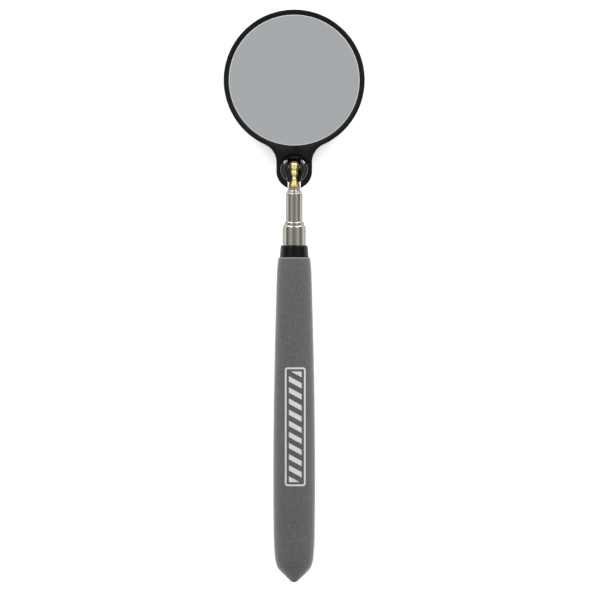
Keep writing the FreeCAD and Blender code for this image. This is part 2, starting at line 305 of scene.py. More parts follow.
def turned(name, outline, sleeve=False, edge=0.0, segments=SLEEVE_SEGMENTS):
    """Lathe work about the tool's axis. A disc at the outline's first (radius, station), in
    millimetres, is extruded through the others. A sleeve's outline comes back to its first."""
    deselect()
    radius, place = outline[0]
    bpy.ops.mesh.primitive_circle_add(
        vertices=segments,
        radius=radius * MM,
        fill_type="NGON",
        location=(0, station(place), AXIS),
        rotation=(math.pi / 2, 0, 0),
    )
    piece = settle(bpy.context.object, name)
    bpy.ops.object.mode_set(mode="EDIT")
    bpy.ops.mesh.select_mode(type="FACE")
    bpy.ops.mesh.select_all(action="SELECT")
    path = list(outline[1:])
    if sleeve:
        path.append(outline[0])
    for next_radius, next_place in path:
        bpy.ops.mesh.extrude_region_move(
            TRANSFORM_OT_translate={"value": (0, (next_place - place) * MM, 0)}
        )
        ratio = next_radius / radius
        if next_radius != radius:
            centre = (0, station(next_place), AXIS)
            bpy.ops.transform.resize(value=(ratio, 1, ratio), center_override=centre)
        radius, place = next_radius, next_place
    if sleeve:
        select(piece, "FACE", lambda face: len(face.verts) > 4)
        bpy.ops.mesh.delete(type="FACE")
    bpy.ops.mesh.select_all(action="SELECT")
    bpy.ops.mesh.remove_doubles(threshold=MERGE_DISTANCE)
    bpy.ops.mesh.normals_make_consistent(inside=False)
    bpy.ops.object.mode_set(mode="OBJECT")
    if edge:
        bevel_edges(piece, edge, ROUNDED_TURNED_EDGE)
    smooth(piece)
    return piece


def merged_copy(node, name):
    """A copy of a CAD node with its loose triangles joined, for a smooth finish."""
    pick(frame["nodes"][node])
    bpy.ops.object.duplicate()
    piece = bpy.context.object
    for key in list(piece.keys()):
        if key.startswith("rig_"):
            del piece[key]
    bpy.ops.object.parent_clear(type="CLEAR_KEEP_TRANSFORM")
    settle(piece, name)
    bpy.ops.object.mode_set(mode="EDIT")
    bpy.ops.mesh.select_all(action="SELECT")
    bpy.ops.mesh.remove_doubles(threshold=MERGE_DISTANCE)
    bpy.ops.object.mode_set(mode="OBJECT")
    return piece


def quarter_round(radius, place, size):
    """Points of a quarter round about a centre, from the side to the end face."""
    points = []
    for step in range(ROUND_STEPS + 1):
        angle = math.radians(90 * step / ROUND_STEPS)
        points.append((radius + size * math.cos(angle), place + size * math.sin(angle)))
    return points


def smooth_value(a, b, c, d, share):
    """Value of a smooth curve part of the way from b to c, with its neighbours a and d."""
    square = 2 * a - 5 * b + 4 * c - d
    cube = 3 * b - a - 3 * c + d
    return 0.5 * (2 * b + (c - a) * share + square * share ** 2 + cube * share ** 3)


def flowing(points, steps):
    """A smooth run of points through the given ones."""
    ends = [points[0]] + list(points) + [points[-1]]
    run = []
    for group in zip(ends, ends[1:], ends[2:], ends[3:]):
        for index in range(steps):
            run.append(tuple(smooth_value(*values, index / steps) for values in zip(*group)))
    run.append(tuple(points[-1]))
    return run


def finish_piece(piece, material, body, slot, *nodes):
    """Gives a piece its material and its body, and hides the CAD nodes that it stands for. The
    slot is not used.
    """
    piece.data.materials.clear()
    piece.data.materials.append(material)
    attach(piece, body)
    if nodes:
        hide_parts(*nodes)
    return piece


def body_of(node):
    for body, members in frame["record"]["behaviour"]["bodies"].items():
        if node in members:
            return body
    raise ValueError("no body holds " + node)


def stand_in(node, name, finish_name, slot):
    """A smooth copy of a CAD node that takes its place, on the same body."""
    piece = merged_copy(node, name)
    smooth(piece)
    return finish_piece(piece, finish(finish_name), body_of(node), slot, node)


# ---------------------------------------------------------------- shader helpers


def feed(tree, socket, value):
    """Links another node's output to an input, or sets the input's own value."""
    if isinstance(value, bpy.types.NodeSocket):
        tree.links.new(value, socket)
    else:
        socket.default_value = value


def add(tree, kind, inputs=None, **properties):
    """A node with its properties set and its inputs linked or set."""
    made = tree.nodes.new(kind)
    for key, value in properties.items():
        setattr(made, key, value)
    for key, value in (inputs or {}).items():
        feed(tree, made.inputs[key], value)
    return made


def calc(tree, operation, first, second=0.0, third=0.0):
    values = {0: first, 1: second}
    if operation == "MULTIPLY_ADD":
        values[2] = third
    return add(tree, "ShaderNodeMath", values, operation=operation).outputs[0]


def spread(tree, value, low, high, to_low=0.0, to_high=1.0):
    """Maps a value's range from low to high onto another range, and holds it there."""
    inputs = {
        "Value": value,
        "From Min": low,
        "From Max": high,
        "To Min": to_low,
        "To Max": to_high,
    }
    return add(tree, "ShaderNodeMapRange", inputs).outputs["Result"]


def noise(tree, vector, scale, detail=3.0, roughness=0.5):
    inputs = {"Vector": vector, "Scale": scale, "Detail": detail, "Roughness": roughness}
    return add(tree, "ShaderNodeTexNoise", inputs).outputs["Fac"]


def stretched(tree, vector, scale):
    inputs = {0: vector, 1: scale}
    return add(tree, "ShaderNodeVectorMath", inputs, operation="MULTIPLY").outputs[0]


def part_of(tree, vector, axis):
    return add(tree, "ShaderNodeSeparateXYZ", {0: vector}).outputs[axis]


def upward(tree):
    """How far the surface faces up, in the piece's own space."""
    return part_of(tree, add(tree, "ShaderNodeTexCoord").outputs["Normal"], "Z")


def blend_colours(tree, share, first, second, mode="MIX"):
    inputs = {0: share, 6: first, 7: second}
    made = add(tree, "ShaderNodeMix", data_type="RGBA", blend_type=mode)
    for key, value in inputs.items():
        feed(tree, made.inputs[key], value)
    return made.outputs[2]


def rgba(colour, factor=1.0):
    return tuple(channel * factor for channel in colour) + (1.0,)


def new_group(name, inputs, outputs):
    """An empty node group with named value, vector or colour sockets."""
    group = bpy.data.node_groups.new(name, "ShaderNodeTree")
    for label, kind, default in inputs:
        socket = group.interface.new_socket(label, in_out="INPUT", socket_type="NodeSocket" + kind)
        if default is not None:
            socket.default_value = default
    for label, kind in outputs:
        group.interface.new_socket(label, in_out="OUTPUT", socket_type="NodeSocket" + kind)
    return group, add(group, "NodeGroupInput"), add(group, "NodeGroupOutput")


def place_group(tree, name, inputs):
    """A shared effect in a material, made when it is first asked for."""
    if name not in MADE_EFFECTS:
        MADE_EFFECTS[name] = EFFECTS[name]()
    made = add(tree, "ShaderNodeGroup", node_tree=MADE_EFFECTS[name])
    for key, value in inputs.items():
        feed(tree, made.inputs[key], value)
    return made


# ---------------------------------------------------------------- shared surface effects


def moulded_grain_group():
    """Fine spark-eroded texture of a moulded or foamed surface."""
    group, start, end = new_group(
        "moulded_grain",
        [("Vector", "Vector", None), ("Size", "Float", 3000.0), ("Patch", "Float", 60.0)],
        [("Height", "Float"), ("Patches", "Float")],
    )
    fine = noise(group, start.outputs["Vector"], start.outputs["Size"], 2.0, 0.6)
    middle_size = calc(group, "MULTIPLY", start.outputs["Size"], 0.31)
    middle = noise(group, start.outputs["Vector"], middle_size, 3.0, 0.55)
    height = calc(group, "MULTIPLY_ADD", middle, 0.6, fine)
    patches = noise(group, start.outputs["Vector"], start.outputs["Patch"], 4.0, 0.6)
    group.links.new(height, end.inputs["Height"])
    group.links.new(spread(group, patches, 0.3, 0.7), end.inputs["Patches"])
    return group


def edge_wear_group():
    """Mask of the rounded edges, used for wear and for painted highlights: where a rounded normal
    leaves the surface's own.
    """
    group, start, end = new_group(
        "edge_wear",
        [("Vector", "Vector", None), ("Radius", "Float", 0.0003), ("Breakup", "Float", 900.0)],
        [("Mask", "Float")],
    )
    rounded = add(group, "ShaderNodeBevel", {"Radius": start.outputs["Radius"]}, samples=4)
    plain = add(group, "ShaderNodeNewGeometry")
    normals = {0: rounded.outputs["Normal"], 1: plain.outputs["Normal"]}
    dot = add(group, "ShaderNodeVectorMath", normals, operation="DOT_PRODUCT").outputs["Value"]
    edge = spread(group, dot, 0.995, 0.86)
    grit = noise(group, start.outputs["Vector"], start.outputs["Breakup"], 3.0, 0.65)
    broken = spread(group, grit, 0.35, 0.65)
    group.links.new(calc(group, "MULTIPLY", edge, broken), end.inputs["Mask"])
    return group


def dust_group():
    """Light dust on what faces up, in soft clumps."""
    group, start, end = new_group(
        "dust",
        [("Vector", "Vector", None), ("Amount", "Float", 0.1)],
        [("Mask", "Float")],
    )
    facing = spread(group, upward(group), 0.2, 1.0)
    clumps = spread(group, noise(group, start.outputs["Vector"], 240.0, 5.0, 0.7), 0.42, 0.72)
    specks = spread(group, noise(group, start.outputs["Vector"], 2600.0, 2.0, 0.6), 0.6, 0.72)
    both = calc(group, "MULTIPLY_ADD", clumps, 0.5, specks)
    dusty = calc(group, "MULTIPLY", calc(group, "MULTIPLY", both, facing), start.outputs["Amount"])
    group.links.new(calc(group, "MINIMUM", dusty, 1.0), end.inputs["Mask"])
    return group


def drawn_metal_group():
    """Fine lines along a drawn tube, with a few cross scratches from sliding."""
    group, start, end = new_group(
        "drawn_metal",
        [("Vector", "Vector", None), ("Lines", "Float", 5200.0), ("Rings", "Float", 2600.0)],
        [("Height", "Float"), ("Rub", "Float")],
    )
    lengthwise = stretched(group, start.outputs["Vector"], (1.0, 0.02, 1.0))
    around = stretched(group, start.outputs["Vector"], (0.03, 1.0, 0.03))
    lines = noise(group, lengthwise, start.outputs["Lines"], 2.0, 0.6)
    rings = noise(group, around, start.outputs["Rings"], 2.0, 0.6)
    rub = noise(group, lengthwise, 900.0, 4.0, 0.65)
    group.links.new(calc(group, "MULTIPLY_ADD", rings, 0.5, lines), end.inputs["Height"])
    group.links.new(spread(group, rub, 0.4, 0.7), end.inputs["Rub"])
    return group


def smudge_group():
    """Soft finger marks and wipe streaks on a polished surface."""
    group, start, end = new_group(
        "smudges",
        [("Vector", "Vector", None), ("Size", "Float", 60.0)],
        [("Mask", "Float")],
    )
    blot = noise(group, start.outputs["Vector"], start.outputs["Size"], 4.0, 0.6)
    streaked = stretched(group, start.outputs["Vector"], (1.0, 0.25, 1.0))
    wipe_size = calc(group, "MULTIPLY", start.outputs["Size"], 9.0)
    wipes = noise(group, streaked, wipe_size, 3.0, 0.7)
    both = calc(group, "MULTIPLY", spread(group, blot, 0.45, 0.75), spread(group, wipes, 0.3, 0.8))
    group.links.new(both, end.inputs["Mask"])
    return group


PRINT_SOFTNESS = 0.05 * MM
PRINT_MARGIN = 2.4      # gap between outline and bars, in line widths
BAR_SLANT = 0.55
BAR_SHARE = 0.235       # half a bar's width, as a share of the pitch


def printed_panel_group():
    """Mask of a printed panel: a rounded outline with slanting bars inside it."""
    group, start, end = new_group(
        "printed_panel",
        [
            ("Vector", "Vector", None),
            ("Half Width", "Float", 0.004),
            ("Half Length", "Float", 0.025),
            ("Corner", "Float", 0.001),
            ("Line", "Float", 0.0007),
            ("Bar Pitch", "Float", 0.0047),
        ],
        [("Mask", "Float"), ("Inside", "Float")],
    )
    across = part_of(group, start.outputs["Vector"], "X")
    along = part_of(group, start.outputs["Vector"], "Y")
    rounding = start.outputs["Corner"]
    line = start.outputs["Line"]
    pitch = start.outputs["Bar Pitch"]

    def past(value, half):
        """How far a place lies past the straight part of a side."""
        reach = calc(group, "SUBTRACT", calc(group, "ABSOLUTE", value), half)
        return calc(group, "ADD", reach, rounding)

    def filled(distance):
        """One inside an outline and nothing outside it, with a soft edge."""
        return spread(group, distance, PRINT_SOFTNESS, -PRINT_SOFTNESS)

    over_x = past(across, start.outputs["Half Width"])
    over_y = past(along, start.outputs["Half Length"])
    far_x = calc(group, "MAXIMUM", over_x, 0.0)
    far_y = calc(group, "MAXIMUM", over_y, 0.0)
    squares = calc(group, "MULTIPLY_ADD", far_x, far_x, calc(group, "MULTIPLY", far_y, far_y))
    within = calc(group, "MINIMUM", calc(group, "MAXIMUM", over_x, over_y), 0.0)
    distance = calc(group, "ADD", calc(group, "SQRT", squares), within)
    edge = calc(group, "SUBTRACT", distance, rounding)
    half_line = calc(group, "MULTIPLY", line, 0.5)
    off_middle = calc(group, "ABSOLUTE", calc(group, "ADD", edge, half_line))
    outline = filled(calc(group, "SUBTRACT", off_middle, half_line))
    inner = filled(calc(group, "ADD", edge, calc(group, "MULTIPLY", line, PRINT_MARGIN)))
    slanted = calc(group, "MULTIPLY_ADD", across, BAR_SLANT, along)
    phase = calc(group, "PINGPONG", slanted, calc(group, "MULTIPLY", pitch, 0.5))
    bars = filled(calc(group, "SUBTRACT", phase, calc(group, "MULTIPLY", pitch, BAR_SHARE)))
    barred = calc(group, "MULTIPLY", inner, bars)
    facing = calc(group, "GREATER_THAN", upward(group), 0.0)
    mask = calc(group, "MULTIPLY", calc(group, "MAXIMUM", outline, barred), facing)
    inside = calc(group, "MULTIPLY", filled(edge), facing)
    group.links.new(mask, end.inputs["Mask"])
    group.links.new(inside, end.inputs["Inside"])
    return group


MADE_EFFECTS = {}
EFFECTS = {
    "grain": moulded_grain_group,
    "wear": edge_wear_group,
    "dust": dust_group,
    "drawn": drawn_metal_group,
    "smudges": smudge_group,
    "print": printed_panel_group,
}


# ---------------------------------------------------------------- materials


def new_material(name):
    """A material with a Principled shader, and the piece's own coordinates."""
    material = bpy.data.materials.new(name)
    material.use_nodes = True
    tree = material.node_tree
    tree.nodes.clear()
    shader = add(tree, "ShaderNodeBsdfPrincipled")
    output = add(tree, "ShaderNodeOutputMaterial")
    tree.links.new(shader.outputs[0], output.inputs["Surface"])
    place = add(tree, "ShaderNodeTexCoord").outputs["Object"]
    return material, tree, shader, place


def bump(tree, shader, height, distance):
    made = add(tree, "ShaderNodeBump", {"Height": height, "Distance": distance})
    tree.links.new(made.outputs["Normal"], shader.inputs["Normal"])


def share_of(tree, mask, share):
    return calc(tree, "MULTIPLY", mask, share)


def fade(tree, place, stretch):
    """Mask that grows from none to full between two distances from the handle's tip."""
    start, end = stretch
    return spread(tree, part_of(tree, place, "Y"), station(start), station(end))


DUST_COLOUR = (0.16, 0.155, 0.145, 1.0)
MIRROR_DUST_COLOUR = (0.5, 0.5, 0.48, 1.0)
TARNISH_COLOUR = (0.36, 0.275, 0.085, 1.0)
PLATING_TINT = (0.55, 0.55, 0.55, 1.0)
HIDDEN_BLACK = (0.02, 0.02, 0.02)
TAPE_WHITE = (0.62, 0.60, 0.55)
PIN_STEEL = (0.56, 0.56, 0.57)
TURNED_DEPTH = 0.0012 * MM
MOULDED_WEAR = 0.25 * MM
VINYL_WEAR = 0.3 * MM
VINYL_DEPTH = 0.02 * MM
# distances from the handle's tip, in millimetres, between which a mark fades in
STUD_TARNISH = (172.6, 171.0)
# painted highlight: the grip's rounded rim at the mouth is painted lighter from these distances on
RIM_PAINTED_HIGHLIGHT = (137.55, 137.8)
# painted shade: the grip's downward-facing tip is painted darker below these distances
TIP_PAINTED_SHADE = (1.3, 0.6)
PANEL_CORNER = 1.1 * MM
PANEL_LINE = 0.72 * MM
PANEL_BAR_PITCH = 4.7 * MM
# lowest and highest roughness
METAL_GLOSS = {
    "tube_nickel": (0.20, 0.27),
    "pin_steel": (0.20, 0.30),
    "spring_bronze": (0.25, 0.35),
}
STUD_GLOSS = (0.16, 0.23)
VINYL_GLOSS = (0.62, 0.72)
PLASTICS = {
    # gloss: lowest and highest roughness; grain: size of the texture, per metre; depth: its
    # height; wear_and_highlight: how much lighter the edges are, from wear and, on the frame, a
    # painted highlight; dusty: share of dust; shine: reflection
    # the frame's large value paints a highlight on its rounded edges, as well as wear
    "frame_plastic": dict(
        gloss=(0.42, 0.54), grain=2600.0, depth=0.012 * MM, wear_and_highlight=22.0, dusty=0.012, shine=0.12
    ),
    "ball_plastic": dict(
        gloss=(0.05, 0.09), grain=1500.0, depth=0.0006 * MM, wear_and_highlight=1.4, dusty=0.010, shine=0.60
    ),
    "collar_plastic": dict(
        gloss=(0.16, 0.24), grain=2200.0, depth=0.002 * MM, wear_and_highlight=2.0, dusty=0.015, shine=0.16
    ),
    "plug_plastic": dict(
        gloss=(0.40, 0.50), grain=2600.0, depth=0.008 * MM, wear_and_highlight=2.2, dusty=0.12, shine=0.5
    ),
    "washer_plastic": dict(
        gloss=(0.35, 0.45), grain=4000.0, depth=0.004 * MM, wear_and_highlight=2.2, dusty=0.12, shine=0.5
    ),
    "foam_tape": dict(
        gloss=(0.70, 0.85), grain=2500.0, depth=0.04 * MM, wear_and_highlight=1.0, dusty=0.0, shine=0.5
    ),
}


def plastic(name, colour):
    """Moulded plastic: grained, dusty on top and lighter at its edges, from wear and, where the
    value is large, a painted highlight.
    """
    made = PLASTICS[name]
    material, tree, shader, place = new_material(name)
    grained = place_group(tree, "grain", {"Vector": place, "Size": made["grain"], "Patch": 90.0})
    wear = place_group(tree, "wear", {"Vector": place, "Radius": MOULDED_WEAR})
    dust = place_group(tree, "dust", {"Vector": place, "Amount": made["dusty"]})
    patches = grained.outputs["Patches"]
    shade = blend_colours(tree, patches, rgba(colour, 0.85), rgba(colour, 1.15))
    # lighter edges: wear, and a painted highlight where the value is large, as on the frame
    edges = share_of(tree, wear.outputs["Mask"], 0.5)
    lighter = blend_colours(tree, edges, shade, rgba(colour, made["wear_and_highlight"]))
    dusted = blend_colours(tree, dust.outputs["Mask"], lighter, DUST_COLOUR)
    tree.links.new(dusted, shader.inputs["Base Color"])
    gloss = spread(tree, patches, 0.0, 1.0, *made["gloss"])
    rough = calc(tree, "MULTIPLY_ADD", dust.outputs["Mask"], 0.4, gloss)
    tree.links.new(rough, shader.inputs["Roughness"])
    shader.inputs["Specular IOR Level"].default_value = made["shine"]
    bump(tree, shader, grained.outputs["Height"], made["depth"])
    return material


def metal(name, colour):
    """Drawn or turned metal with rubbed lines and a few dull finger marks."""
    material, tree, shader, place = new_material(name)
    drawn = place_group(tree, "drawn", {"Vector": place, "Lines": 5200.0, "Rings": 2600.0})
    smudges = place_group(tree, "smudges", {"Vector": place, "Size": 160.0})
    tone = blend_colours(tree, drawn.outputs["Rub"], rgba(colour), rgba(colour, 0.93))
    marks = share_of(tree, smudges.outputs["Mask"], 0.35)
    tarnished = blend_colours(tree, marks, tone, rgba(colour, 0.72))
    tree.links.new(tarnished, shader.inputs["Base Color"])
    shader.inputs["Metallic"].default_value = 1.0
    shader.inputs["Specular Tint"].default_value = PLATING_TINT
    gloss = spread(tree, drawn.outputs["Rub"], 0.0, 1.0, *METAL_GLOSS[name])
    rough = calc(tree, "MULTIPLY_ADD", smudges.outputs["Mask"], 0.08, gloss)
    tree.links.new(rough, shader.inputs["Roughness"])
    bump(tree, shader, drawn.outputs["Height"], TURNED_DEPTH)
    return material


def stud_brass():
    """Turned brass, tarnished towards the ferrule that it is soldered into."""
    colour = metal_settings().brass_colour
    material, tree, shader, place = new_material("stud_brass")
    drawn = place_group(tree, "drawn", {"Vector": place, "Lines": 1200.0, "Rings": 5200.0})
    smudges = place_group(tree, "smudges", {"Vector": place, "Size": 420.0})
    near_foot = fade(tree, place, STUD_TARNISH)
    blotch = spread(tree, noise(tree, place, 700.0, 3.0, 0.6), 0.3, 0.7, 0.7, 1.0)
    foot = calc(tree, "MULTIPLY", near_foot, blotch)
    tone = blend_colours(tree, drawn.outputs["Rub"], rgba(colour), rgba(colour, 0.9))
    marks = share_of(tree, smudges.outputs["Mask"], 0.4)
    spotted = blend_colours(tree, marks, tone, rgba(colour, 0.6))
    tree.links.new(blend_colours(tree, foot, spotted, TARNISH_COLOUR), shader.inputs["Base Color"])
    shader.inputs["Metallic"].default_value = 0.8
    shader.inputs["Specular Tint"].default_value = PLATING_TINT
    gloss = spread(tree, drawn.outputs["Rub"], 0.0, 1.0, *STUD_GLOSS)
    marked = calc(tree, "MULTIPLY_ADD", smudges.outputs["Mask"], 0.08, gloss)
    rough = calc(tree, "MULTIPLY_ADD", foot, 0.16, marked)
    tree.links.new(rough, shader.inputs["Roughness"])
    bump(tree, shader, drawn.outputs["Height"], TURNED_DEPTH)
    return material


def mirror_silver():
    """Silvered glass: almost clean, with the faintest finger marks."""
    colour = head_settings().silver_colour
    material, tree, shader, place = new_material("silvered_glass")
    smudges = place_group(tree, "smudges", {"Vector": place, "Size": 45.0})
    dust = place_group(tree, "dust", {"Vector": place, "Amount": 0.035})
    marks = share_of(tree, smudges.outputs["Mask"], 0.05)
    hazed = blend_colours(tree, marks, rgba(colour), rgba(colour, 0.85))
    dusted = blend_colours(tree, dust.outputs["Mask"], hazed, MIRROR_DUST_COLOUR)
    tree.links.new(dusted, shader.inputs["Base Color"])
    shader.inputs["Metallic"].default_value = 1.0
    rough = calc(tree, "MULTIPLY_ADD", smudges.outputs["Mask"], 0.05, 0.015)
    tree.links.new(rough, shader.inputs["Roughness"])
    shader.inputs["Coat Weight"].default_value = 0.6
    shader.inputs["Coat Roughness"].default_value = 0.01
    return material


def speckled_vinyl(tree, place, colour, patches):
    """Mottled colour of the foamed sleeve, with light specks and dark pits."""
    patched = blend_colours(tree, patches, rgba(colour, 0.94), rgba(colour, 1.06))
    mottle = spread(tree, noise(tree, place, 1500.0, 3.0, 0.75), 0.35, 0.65)
    shades = blend_colours(tree, mottle, rgba((0.74,) * 3), rgba((1.26,) * 3))
    mottled = blend_colours(tree, 1.0, patched, shades, "MULTIPLY")
    speck = noise(tree, place, 2600.0, 2.0, 0.7)
    specked = blend_colours(tree, spread(tree, speck, 0.40, 0.32), mottled, rgba(colour, 1.7))
    return blend_colours(tree, spread(tree, speck, 0.60, 0.68), specked, rgba(colour, 0.55))


def grip_vinyl():
    """Soft matte sleeve with a fine speckle and the printed panel, a painted highlight on its
    mouth's rim and painted shade at its tip.
    """
    settings = handle_settings()
    colour = settings.vinyl_colour
    material, tree, shader, place = new_material("grip_vinyl")
    grained = place_group(tree, "grain", {"Vector": place, "Size": 3600.0, "Patch": 45.0})
    dust = place_group(tree, "dust", {"Vector": place, "Amount": 0.10})
    wear = place_group(tree, "wear", {"Vector": place, "Radius": VINYL_WEAR})
    centred = add(tree, "ShaderNodeMapping", {"Vector": place}, vector_type="POINT")
    middle = (settings.print_offset, TIP + settings.print_station, 0.0)
    centred.inputs["Location"].default_value = tuple(-value for value in middle)
    panel_sizes = {
        "Vector": centred.outputs[0],
        "Half Width": settings.print_width / 2,
        "Half Length": settings.print_length / 2,
        "Corner": PANEL_CORNER,
        "Line": PANEL_LINE,
        "Bar Pitch": PANEL_BAR_PITCH,
    }
    panel = place_group(tree, "print", panel_sizes)
    speckled = speckled_vinyl(tree, place, colour, grained.outputs["Patches"])
    # lighter edges: partly wear, partly a painted highlight, chiefly on the mouth's rounded rim
    rubbed = blend_colours(tree, wear.outputs["Mask"], speckled, rgba(colour, 2.1))
    dusted = blend_colours(tree, dust.outputs["Mask"], rubbed, rgba(colour, 1.5))
    # painted highlight on the mouth's rounded rim
    rim_highlight_mask = share_of(tree, fade(tree, place, RIM_PAINTED_HIGHLIGHT), 0.8)
    rim = blend_colours(tree, rim_highlight_mask, dusted, rgba(colour, 2.4))
    # painted shade on the tip of the grip
    tip_shade_mask = share_of(tree, fade(tree, place, TIP_PAINTED_SHADE), 0.8)
    tip = blend_colours(tree, tip_shade_mask, rim, rgba(colour, 0.25))
    shaded = share_of(tree, panel.outputs["Inside"], 0.35)
    ground = blend_colours(tree, shaded, tip, rgba(colour, 0.62))
    rubbed_off = spread(tree, noise(tree, place, 1500.0, 3.0, 0.7), 0.30, 0.36)
    inked = calc(tree, "MULTIPLY", panel.outputs["Mask"], rubbed_off)
    printed = blend_colours(tree, inked, ground, rgba(settings.print_colour))
    tree.links.new(printed, shader.inputs["Base Color"])
    rough = spread(tree, grained.outputs["Patches"], 0.0, 1.0, *VINYL_GLOSS)
    inked_rough = calc(tree, "MULTIPLY_ADD", inked, -0.2, rough)
    tree.links.new(inked_rough, shader.inputs["Roughness"])
    shader.inputs["Specular IOR Level"].default_value = 0.4
    shader.inputs["Sheen Weight"].default_value = 0.70
    shader.inputs["Sheen Roughness"].default_value = 0.35
    raised = calc(tree, "MULTIPLY_ADD", inked, 1.2, grained.outputs["Height"])
    bump(tree, shader, raised, VINYL_DEPTH)
    return material


def head_settings():
    return bpy.context.scene.mirror_head


def handle_settings():
    return bpy.context.scene.mirror_handle


def metal_settings():
    return bpy.context.scene.mirror_metal


MADE_FINISHES = {}
FINISHES = {
    "frame_plastic": lambda: plastic("frame_plastic", head_settings().frame_colour),
    "ball_plastic": lambda: plastic("ball_plastic", head_settings().ball_colour),
    "collar_plastic": lambda: plastic("collar_plastic", handle_settings().collar_colour),
    "plug_plastic": lambda: plastic("plug_plastic", HIDDEN_BLACK),
    "washer_plastic": lambda: plastic("washer_plastic", HIDDEN_BLACK),
    "foam_tape": lambda: plastic("foam_tape", TAPE_WHITE),
    "tube_nickel": lambda: metal("tube_nickel", metal_settings().nickel_colour),
    "pin_steel": lambda: metal("pin_steel", PIN_STEEL),
    "spring_bronze": lambda: metal("spring_bronze", metal_settings().bronze_colour),
    "stud_brass": stud_brass,
    "silvered_glass": mirror_silver,
    "grip_vinyl": grip_vinyl,
}


def finish(name):
    """The material of this name, made when a piece first asks for it."""
    if name not in MADE_FINISHES:
        MADE_FINISHES[name] = FINISHES[name]()
    return MADE_FINISHES[name]


# ---------------------------------------------------------------- turned outlines, in millimetres

TUBES = [
    # node, outer radius, bore radius, foot, top, height of the rolled end, rise of the foot's lip
    ("tube_1", 4.925, 4.525, 27.0, 151.75, 1.35, 0.0),
    ("tube_2", 4.225, 3.845, 32.0, 153.4, 1.05, 0.2),
    ("tube_3", 3.53, 3.28, 32.0, 165.75, 1.15, 0.2),
    ("tube_4", 3.03, 2.81, 32.0, 166.7, 0.6, 0.16),
    ("tube_5", 2.56, 2.26, 32.0, 167.0, 0.0, 0.16),
]
ROUND_STEPS = 5
ROLL_STEPS = 6
ROLL_MOUTH_GAP = 0.06
ROLL_RIM_SHARE = 0.4
ROLL_MOUTH_SHARE = 0.45
ROLL_INNER_DROP = 0.3
LIP_LENGTH = 1.0
BEAD = (42.2, 43.0)
BEAD_RISE = 0.12
BEAD_STEPS = 6
TUBE_EDGE = 0.04 * MM
GRIP_SIDE = [
    (6.4, 5.2),
    (7.45, 7.0),
    (8.3, 11.2),
    (8.75, 21.0),
    (8.925, 43.0),
    (8.78, 68.0),
    (8.4, 92.0),
    (7.85, 115.0),
    (7.35, 132.0),
    (6.85, 137.75),
]
GRIP_SIDE_STEPS = 6
GRIP_TIP = [(1.10, 0.35), (1.35, 0.35)]
GRIP_MOUTH = (6.40, 137.75, 0.45)
GRIP_INSIDE = [(6.20, 138.2), (6.20, 14.45), (1.10, 14.45)]
COLLAR_SIDE = [(4.975, 120.25), (5.43, 120.25), (5.43, 138.25), (6.2, 138.25), (5.8, 142.9)]
COLLAR_ROUND = (5.3, 142.9, 0.5)
COLLAR_TOP = [(4.975, 143.4)]
PLUG_OUTLINE = [
    (4.925, 24.0),
    (4.925, 16.0),
    (6.15, 16.0),
    (6.15, 14.5),
    (1.05, 14.5),
    (1.05, 0.6),
    (0.98, 0.36),
    (0.74, 0.16),
    (0.4, 0.05),
    (0.06, 0.002),
]


def foot_outline(radius, foot, lip):
    """Lip and bead that keep a sliding tube from leaving the one around it."""
    outline = [(radius + lip, foot)]
    if lip:
        outline += [(radius + lip, foot + LIP_LENGTH), (radius, foot + LIP_LENGTH)]
        low, high = BEAD
        for step in range(BEAD_STEPS + 1):
            angle = math.pi * step / BEAD_STEPS
            place = (low + high) / 2 - (high - low) / 2 * math.cos(angle)
            outline.append((radius + BEAD_RISE * math.sin(angle), place))
    return outline


def tube_outline(index):
    """Closed outline of a drawn tube, with its rolled-in end if another tube slides in it."""
    _node, radius, bore, foot, top, roll, lip = TUBES[index]
    outline = [(bore, foot)] + foot_outline(radius, foot, lip)
    if not roll:
        return outline + [(radius, top), (bore, top)]
    mouth = TUBES[index + 1][1] + ROLL_MOUTH_GAP
    rim = mouth + ROLL_RIM_SHARE * (radius - mouth)
    start = top - roll
    outline.append((radius, start))
    for step in range(1, ROLL_STEPS + 1):
        angle = math.radians(90 * step / ROLL_STEPS)
        across = rim + (radius - rim) * math.cos(angle)
        outline.append((across, start + roll * math.sin(angle)))
    outline += [(mouth, top), (mouth, start + ROLL_MOUTH_SHARE * roll)]
    return outline + [(bore, start - ROLL_INNER_DROP)]


# ---------------------------------------------------------------- operators

SOCKET_REACH = 10.5 * MM
SOCKET_EDGES = (5.5 * MM, 9.2 * MM)
SOCKET_EDGE_HEIGHT = 0.8 * MM
SOCKET_FLAT_DEGREES = 0.2
SOCKET_SHARP_DEGREES = 50
SOCKET_SEGMENTS = 3
GLASS_ROUND = 0.06 * MM
STUD_BEAD = (173.3, 175.1)
STUD_BEAD_MIDDLE = 173.9
STUD_BEAD_GROWTH = 1.17


def from_ball(place):
    """Distance from the ball's middle as seen from the front."""
    return (place - BALL).to_2d().length


def on_socket_edge(edge):
    """An outward edge of the boss's front, about the ball."""
    middle = (edge.verts[0].co + edge.verts[1].co) / 2
    nearest, farthest = SOCKET_EDGES
    if not nearest < from_ball(middle) < farthest or middle.z < BALL.z + SOCKET_EDGE_HEIGHT:
        return False
    sharp = edge.calc_face_angle(0) > math.radians(SOCKET_SHARP_DEGREES)
    return edge.is_convex and sharp


def round_socket_edges(piece, width):
    """Rounds the outward edges of the boss about the ball, as they leave the mould."""
    pick(piece)
    bpy.ops.object.mode_set(mode="EDIT")
    select(piece, "VERT", lambda vertex: from_ball(vertex.co) < SOCKET_REACH)
    bpy.ops.mesh.dissolve_limited(angle_limit=math.radians(SOCKET_FLAT_DEGREES))
    select(piece, "EDGE", on_socket_edge)
    bpy.ops.mesh.bevel(
        offset=width, segments=SOCKET_SEGMENTS, affect="EDGES", clamp_overlap=True
    )
    bpy.ops.object.mode_set(mode="OBJECT")


